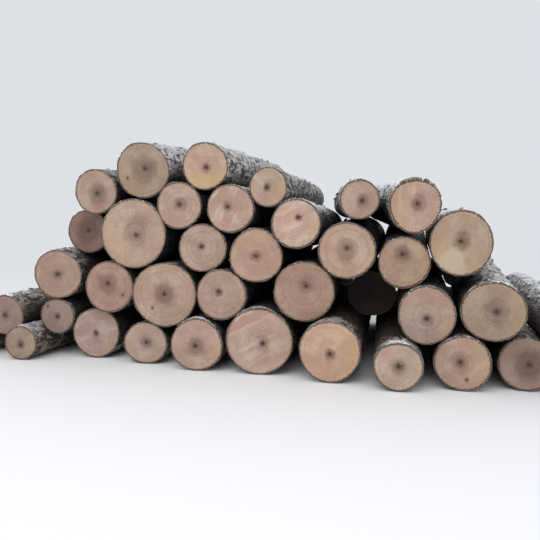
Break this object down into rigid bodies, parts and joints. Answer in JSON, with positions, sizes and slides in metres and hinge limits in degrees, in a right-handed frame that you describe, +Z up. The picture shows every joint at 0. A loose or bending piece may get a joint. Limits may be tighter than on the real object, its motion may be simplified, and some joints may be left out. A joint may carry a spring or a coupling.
{
  "type": "heap of logs",
  "caption": "Heap of round birch logs with bark on, sawn square at both ends, nested in rough rows on the ground and climbing towards the thicker butt ends.",
  "frame": {"origin": "middle of the heap's box, on the ground", "axes": "+X along the heap, from the low left end to the right end seen from in front; +Y along the logs, from the sawn top ends to the butt ends; +Z up"},
  "size_m": [6.0802, 3.7728, 2.2151],
  "materials": {
    "birch_log": "bark round the side, sawn wood at the ends"
  },
  "bodies": {
    "root": {"bottom_log_1": "birch_log", "bottom_log_2": "birch_log", "bottom_log_3": "birch_log", "bottom_log_4": "birch_log", "bottom_log_5": "birch_log", "bottom_log_6": "birch_log", "bottom_log_7": "birch_log", "bottom_log_8": "birch_log", "bottom_log_9": "birch_log", "high_log_1": "birch_log", "high_log_2": "birch_log", "high_log_3": "birch_log", "high_log_4": "birch_log", "high_log_6": "birch_log", "high_log_7": "birch_log", "high_log_8": "birch_log", "low_log_1": "birch_log", "low_log_10": "birch_log", "low_log_2": "birch_log", "low_log_3": "birch_log", "low_log_4": "birch_log", "low_log_5": "birch_log", "low_log_6": "birch_log", "low_log_7": "birch_log", "low_log_8": "birch_log", "low_log_9": "birch_log", "side_log_1": "birch_log", "side_log_2": "birch_log", "top_log_1": "birch_log", "top_log_2": "birch_log", "top_log_3": "birch_log", "top_log_4": "birch_log", "top_log_5": "birch_log", "top_log_6": "birch_log", "upper_log_1": "birch_log", "upper_log_2": "birch_log", "upper_log_3": "birch_log"}
  },
  "joints": []
}
